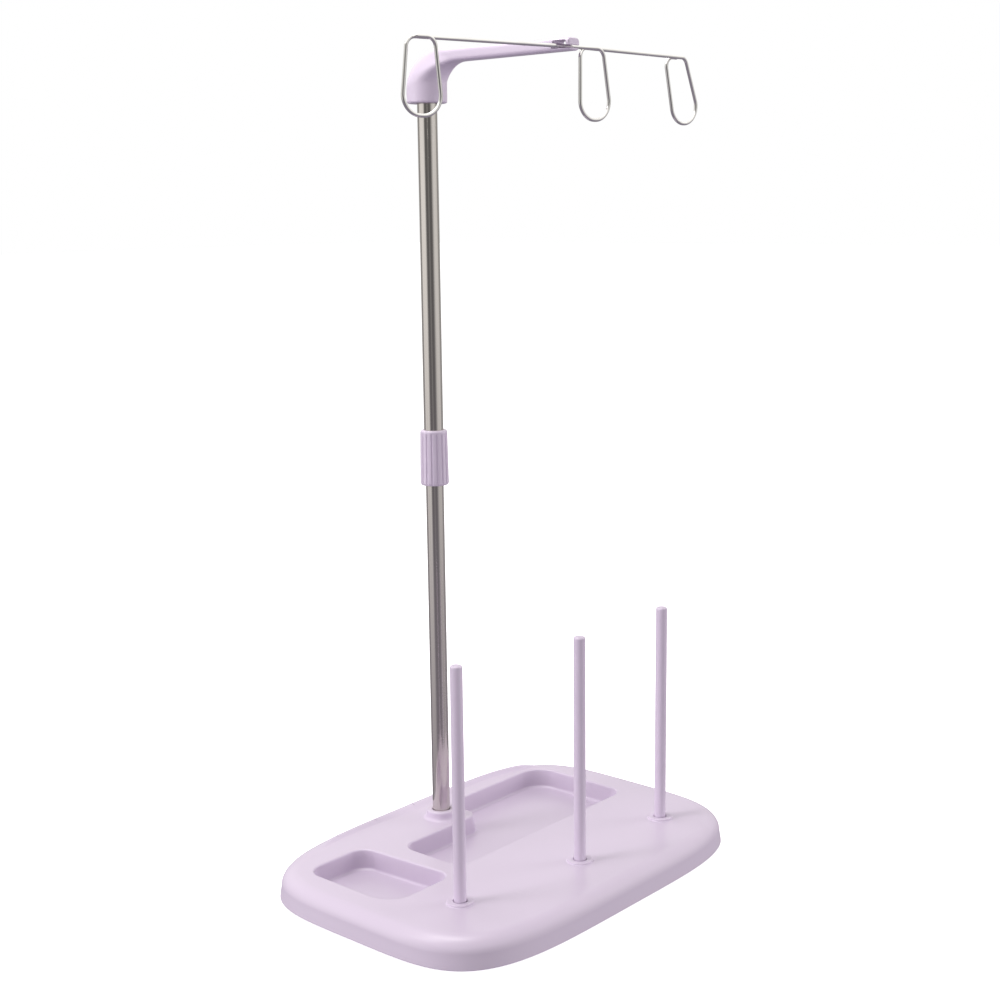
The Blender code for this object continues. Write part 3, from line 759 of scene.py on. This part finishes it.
class Nodes:
    """A short way to build a material's node tree."""

    def __init__(self, name):
        self.material = bpy.data.materials.new(name)
        self.material.use_nodes = True
        self.tree = self.material.node_tree
        self.shader = self.tree.nodes["Principled BSDF"]
        self.place = self.add("ShaderNodeTexCoord").outputs["Object"]

    def add(self, kind, **settings):
        node = self.tree.nodes.new(kind)
        for key, value in settings.items():
            setattr(node, key, value)
        return node

    def link(self, source, target):
        self.tree.links.new(source, target)

    def stretched(self, scale):
        mapping = self.add("ShaderNodeMapping")
        mapping.inputs["Scale"].default_value = scale
        self.link(self.place, mapping.inputs["Vector"])
        return mapping.outputs["Vector"]

    def noise(self, scale, detail=3.0, vector=None, roughness=0.5):
        node = self.add("ShaderNodeTexNoise")
        node.inputs["Scale"].default_value = scale
        node.inputs["Detail"].default_value = detail
        node.inputs["Roughness"].default_value = roughness
        self.link(vector or self.place, node.inputs["Vector"])
        return node.outputs["Fac"]

    def ramp(self, source, low, high, start=0.3, end=0.7):
        """A value or colour that runs from low to high as the source goes from start to end."""
        node = self.add("ShaderNodeValToRGB")
        points = node.color_ramp.elements
        points[0].position, points[1].position = start, end
        points[0].color = (*low, 1) if isinstance(low, tuple) else (low, low, low, 1)
        points[1].color = (*high, 1) if isinstance(high, tuple) else (high, high, high, 1)
        self.link(source, node.inputs["Fac"])
        return node.outputs["Color"]

    def mix(self, factor, first, second):
        node = self.add("ShaderNodeMix", data_type="RGBA")
        self.link(factor, node.inputs["Factor"])
        for source, socket in ((first, node.inputs[6]), (second, node.inputs[7])):
            if isinstance(source, tuple):
                socket.default_value = (*source, 1)
            else:
                self.link(source, socket)
        return node.outputs[2]

    def bump(self, height, strength, distance, under=None):
        node = self.add("ShaderNodeBump")
        node.inputs["Strength"].default_value = strength
        node.inputs["Distance"].default_value = distance
        self.link(height, node.inputs["Height"])
        if under is not None:
            self.link(under, node.inputs["Normal"])
        return node.outputs["Normal"]

    def finish(self, colour, roughness, normal, **constants):
        self.link(colour, self.shader.inputs["Base Color"])
        self.link(roughness, self.shader.inputs["Roughness"])
        self.link(normal, self.shader.inputs["Normal"])
        for key, value in constants.items():
            self.shader.inputs[key.replace("_", " ")].default_value = value
        return self.material


def lavender_plastic():
    """Moulded ABS: even colour with faint flow clouds, satin gloss, orange peel and a few dust specks."""
    nodes = Nodes("lavender_plastic")
    clouds = nodes.noise(9.0, 2.0)
    colour = nodes.ramp(clouds, (0.640, 0.550, 0.690), (0.668, 0.578, 0.718))
    cells = nodes.add("ShaderNodeTexVoronoi", feature="F1")
    cells.inputs["Scale"].default_value = 95.0
    nodes.link(nodes.place, cells.inputs["Vector"])
    sparse = nodes.add("ShaderNodeSeparateColor")
    nodes.link(cells.outputs["Color"], sparse.inputs["Color"])
    chosen = nodes.add("ShaderNodeMath", operation="GREATER_THAN")
    chosen.inputs[1].default_value = 0.955
    nodes.link(sparse.outputs["Red"], chosen.inputs[0])
    near = nodes.add("ShaderNodeMath", operation="LESS_THAN")
    near.inputs[1].default_value = 0.028
    nodes.link(cells.outputs["Distance"], near.inputs[0])
    speck = nodes.add("ShaderNodeMath", operation="MULTIPLY")
    nodes.link(chosen.outputs[0], speck.inputs[0])
    nodes.link(near.outputs[0], speck.inputs[1])
    colour = nodes.mix(speck.outputs[0], colour, (0.33, 0.27, 0.36))
    roughness = nodes.ramp(nodes.noise(22.0, 4.0), 0.29, 0.35)
    peel = nodes.bump(nodes.noise(420.0, 2.0), 0.05, 0.0002)
    grain = nodes.bump(nodes.noise(2600.0, 1.0), 0.02, 0.00005, peel)
    return nodes.finish(colour, roughness, grain, IOR=1.53)


def brushed_stainless():
    """Drawn tube: fine lines along it and faint tone bands."""
    nodes = Nodes("brushed_stainless")
    lines = nodes.noise(1.0, 3.0, nodes.stretched((3800, 3800, 14)))
    tone = nodes.noise(1.0, 2.0, nodes.stretched((500, 500, 5)))
    colour = nodes.ramp(tone, (0.60, 0.565, 0.53), (0.66, 0.63, 0.60))
    roughness = nodes.ramp(lines, 0.10, 0.17)
    normal = nodes.bump(lines, 0.10, 0.00004)
    return nodes.finish(colour, roughness, normal, Metallic=1.0)


def bright_wire():
    """Bright drawn wire with die marks along it."""
    nodes = Nodes("bright_wire")
    marks = nodes.noise(900.0, 4.0)
    colour = nodes.ramp(nodes.noise(60.0, 2.0), (0.66, 0.65, 0.635), (0.76, 0.75, 0.735))
    roughness = nodes.ramp(marks, 0.06, 0.13)
    normal = nodes.bump(marks, 0.05, 0.00004)
    return nodes.finish(colour, roughness, normal, Metallic=1.0)


def natural_nylon():
    nodes = Nodes("natural_nylon")
    colour = nodes.ramp(nodes.noise(70.0, 3.0), (0.80, 0.79, 0.74), (0.88, 0.87, 0.83))
    roughness = nodes.ramp(nodes.noise(300.0, 3.0), 0.40, 0.52)
    normal = nodes.bump(nodes.noise(1500.0, 2.0), 0.15, 0.00006)
    return nodes.finish(colour, roughness, normal, IOR=1.53, Subsurface_Weight=0.1)


def zinc_plated():
    nodes = Nodes("zinc_plated")
    tone = nodes.noise(250.0, 4.0)
    colour = nodes.ramp(tone, (0.58, 0.59, 0.61), (0.72, 0.72, 0.70))
    roughness = nodes.ramp(nodes.noise(900.0, 3.0), 0.30, 0.42)
    normal = nodes.bump(nodes.noise(1800.0, 2.0), 0.12, 0.00006)
    return nodes.finish(colour, roughness, normal, Metallic=1.0)


def grey_rubber():
    nodes = Nodes("grey_rubber")
    colour = nodes.ramp(nodes.noise(400.0, 4.0), (0.13, 0.13, 0.14), (0.19, 0.19, 0.20))
    roughness = nodes.ramp(nodes.noise(800.0, 3.0), 0.75, 0.92)
    normal = nodes.bump(nodes.noise(2600.0, 3.0), 0.30, 0.0001)
    return nodes.finish(colour, roughness, normal)


def dress(made, body, slot, material, *nodes):
    """Gives a piece its material and its body, and hides the frame nodes that it stands for. slot is not
    used.
    """
    made.data.materials.clear()
    made.data.materials.append(material)
    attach(made, body)
    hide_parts(*nodes)


def build_pieces():
    finishes = {
        "lavender_plastic": lavender_plastic(),
        "brushed_stainless": brushed_stainless(),
        "bright_wire": bright_wire(),
        "natural_nylon": natural_nylon(),
        "zinc_plated": zinc_plated(),
        "grey_rubber": grey_rubber(),
    }

    def place(made, body, slot, *nodes):
        dress(made, body, slot, finishes[slot], *nodes)

    place(base_moulding(), "base", "lavender_plastic", "base_shell")
    for side in ("left", "middle", "right"):
        place(spool_pin(side), "base", "lavender_plastic", "spool_pin_" + side)
        place(screw("pin_screw_" + side), "base", "zinc_plated", "pin_screw_" + side)
    for end in ("front", "rear"):
        for side in ("left", "right"):
            node = "rubber_foot_%s_%s" % (end, side)
            place(rubber_foot(node), "base", "grey_rubber", node)
    place(screw("pole_screw"), "base", "zinc_plated", "pole_screw")
    place(tube("lower_tube", "lower_pole"), "base", "brushed_stainless", "lower_pole")
    place(tube("upper_tube", "upper_pole"), "mast", "brushed_stainless", "upper_pole")
    place(lock_collar(), "collar", "lavender_plastic", "lock_collar")
    place(swing_arm(), "guide_arm", "lavender_plastic", "arm")
    place(guide_wire(), "guide_arm", "bright_wire", "wire_guide")
    kept = {
        "pole_foot_insert": "zinc_plated",
        "pole_washer": "zinc_plated",
        "slide_bush": "natural_nylon",
        "collet": "natural_nylon",
        "mast_plug": "natural_nylon",
    }
    for node, slot in kept.items():
        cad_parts[node].material_slots[0].material = finishes[slot]


# Studio


def camera():
    yaw, pitch, roll = (math.radians(angle) for angle in (CAMERA_YAW, CAMERA_PITCH, CAMERA_ROLL))
    ahead = Vector((math.sin(yaw) * math.cos(pitch), math.cos(yaw) * math.cos(pitch), -math.sin(pitch)))
    level = Vector((math.cos(yaw), -math.sin(yaw), 0))
    upright = level.cross(ahead)
    right = level * math.cos(roll) + upright * math.sin(roll)
    up = upright * math.cos(roll) - level * math.sin(roll)
    data = bpy.data.cameras.new("camera")
    made = link("camera", data)
    made.matrix_world = Matrix.Translation(CAMERA_PLACE) @ Matrix((right, up, -ahead)).transposed().to_4x4()
    data.lens, data.sensor_width = CAMERA_LENS, CAMERA_SENSOR
    data.shift_x, data.shift_y = CAMERA_SHIFT
    data.clip_start, data.clip_end = 0.01, 50
    bpy.context.scene.camera = made


def floor():
    """A plain pale floor. The studio's own glow stands for what it would reflect into the metal."""
    shape = bmesh.new()
    reach = 12000.0
    corners = ((-1, -1), (1, -1), (1, 1), (-1, 1))
    shape.faces.new(add_ring(shape, [(reach * x, reach * y, 0) for x, y in corners]))
    made = finished("floor", shape, weighted=False)
    nodes = Nodes("pale_floor")
    colour = nodes.ramp(nodes.noise(0.8, 3.0), (0.93, 0.93, 0.93), (0.96, 0.96, 0.96))
    roughness = nodes.ramp(nodes.noise(6.0, 3.0), 0.75, 0.85)
    normal = nodes.bump(nodes.noise(40.0, 2.0), 0.02, 0.001)
    nodes.link(colour, nodes.shader.inputs["Emission Color"])
    pale = nodes.finish(colour, roughness, normal, Specular_IOR_Level=0.0, Emission_Strength=0.95)
    made.data.materials.append(pale)
    made.visible_glossy = False
    made.visible_diffuse = False


def studio_glow():
    """White to the eye. For light and gloss: two broad soft boxes, a faint one in front, and a ceiling."""
    world = bpy.data.worlds.new("studio")
    bpy.context.scene.world = world
    world.use_nodes = True
    tree = world.node_tree
    tree.nodes.clear()

    def add(kind, **settings):
        node = tree.nodes.new(kind)
        for key, value in settings.items():
            setattr(node, key, value)
        return node

    def put(source, socket):
        if hasattr(source, "is_output"):
            tree.links.new(source, socket)
        else:
            socket.default_value = source

    def calculate(operation, *values):
        node = add("ShaderNodeMath", operation=operation)
        for index, value in enumerate(values):
            put(value, node.inputs[index])
        return node.outputs[0]

    def step(value, start, end, low=0.0, high=1.0):
        """Runs smoothly from low to high as the value goes from start to end."""
        node = add("ShaderNodeMapRange", interpolation_type="SMOOTHSTEP")
        for key, setting in (("From Min", start), ("From Max", end), ("To Min", low), ("To Max", high)):
            node.inputs[key].default_value = setting
        put(value, node.inputs["Value"])
        return node.outputs["Result"]

    def mix(factor, first, second):
        node = add("ShaderNodeMix", data_type="RGBA")
        put(factor, node.inputs["Factor"])
        put(first, node.inputs[6])
        put(second, node.inputs[7])
        return node.outputs[2]

    def warm(level):
        node = add("ShaderNodeVectorMath", operation="MULTIPLY")
        node.inputs[1].default_value = WARMTH
        put(level, node.inputs[0])
        return node.outputs["Vector"]

    def dot(axis):
        node = add("ShaderNodeVectorMath", operation="DOT_PRODUCT")
        node.inputs[1].default_value = axis
        put(direction, node.inputs[0])
        return node.outputs["Value"]

    direction = add("ShaderNodeTexCoord").outputs["Generated"]
    yaw = math.radians(CAMERA_YAW)
    right = dot((math.cos(yaw), -math.sin(yaw), 0))
    front = dot((-math.sin(yaw), -math.cos(yaw), 0))
    bearing = calculate("DEGREES", calculate("ARCTAN2", right, front))
    away = calculate("ABSOLUTE", bearing)
    height = dot((0, 0, 1))
    seen = add("ShaderNodeLightPath")

    ring = step(away, *BACK_FROM, FRONT_LEVEL, BACK_LEVEL)
    for middle, half, fade, level in GLOW_BOXES:
        off = calculate("ABSOLUTE", calculate("SUBTRACT", bearing, middle))
        ring = calculate("MAXIMUM", ring, step(off, half, half + fade, level, 0.0))
    high_ring = step(away, *HIGH_BACK_FROM, HIGH_FRONT_LEVEL, HIGH_BACK_LEVEL)

    colour = mix(step(height, *HORIZON), (*GROUND_COLOUR, 1), warm(ring))
    colour = mix(step(height, *HIGH_FROM), colour, warm(high_ring))
    ceiling = [CEILING_LEVEL * part for part in WARMTH]
    ceiling_gloss = [CEILING_GLOSS_LEVEL * part for part in WARMTH]
    dim = mix(step(height, *CEILING_FROM), colour, (*ceiling, 1))
    bright = mix(step(height, *CEILING_GLOSS_FROM), colour, (*ceiling_gloss, 1))

    glow = add("ShaderNodeBackground")
    put(mix(seen.outputs["Is Glossy Ray"], dim, bright), glow.inputs["Color"])
    plain = add("ShaderNodeBackground")
    plain.inputs["Color"].default_value = (1, 1, 1, 1)
    either = add("ShaderNodeMixShader")
    put(seen.outputs["Is Camera Ray"], either.inputs["Fac"])
    put(glow.outputs[0], either.inputs[1])
    put(plain.outputs[0], either.inputs[2])
    put(either.outputs[0], add("ShaderNodeOutputWorld").inputs["Surface"])


def soft_box(name, bearing, height, distance, size, power, gloss=False):
    """A rectangular soft light that faces the stand, at a bearing to the right of the viewpoint's side."""
    yaw = math.radians(CAMERA_YAW)
    turn = math.radians(bearing)
    toward = Vector((-math.sin(yaw), -math.cos(yaw), 0)) * math.cos(turn)
    toward += Vector((math.cos(yaw), -math.sin(yaw), 0)) * math.sin(turn)
    data = bpy.data.lights.new(name, "AREA")
    data.shape = "RECTANGLE"
    data.size, data.size_y = size
    data.energy = power
    data.color = LAMP_COLOUR
    made = link(name, data)
    made.location = toward * distance + Vector((0, 0, height))
    made.rotation_euler = (Vector(LAMP_TARGET) - made.location).to_track_quat("-Z", "Y").to_euler()
    made.visible_camera = False
    made.visible_glossy = gloss


def lights():
    soft_box("key_left", -75, 0.42, 1.40, (0.8, 0.9), 7.6)
    soft_box("fill_right", 104, 0.40, 1.50, (0.7, 0.9), 8.8)
    soft_box("bounce", 10, 0.06, 1.40, (1.2, 0.1), 4.0)
    soft_box("top", -100, 1.02, 0.22, (0.5, 0.5), 4.4, gloss=True)
    soft_box("streak", -70, 1.30, 0.95, (0.3, 0.6), 3.5, gloss=True)


def main():
    bpy.context.scene.view_settings.view_transform = "Standard"
    build_pieces()
    camera()
    floor()
    studio_glow()
    lights()


main()
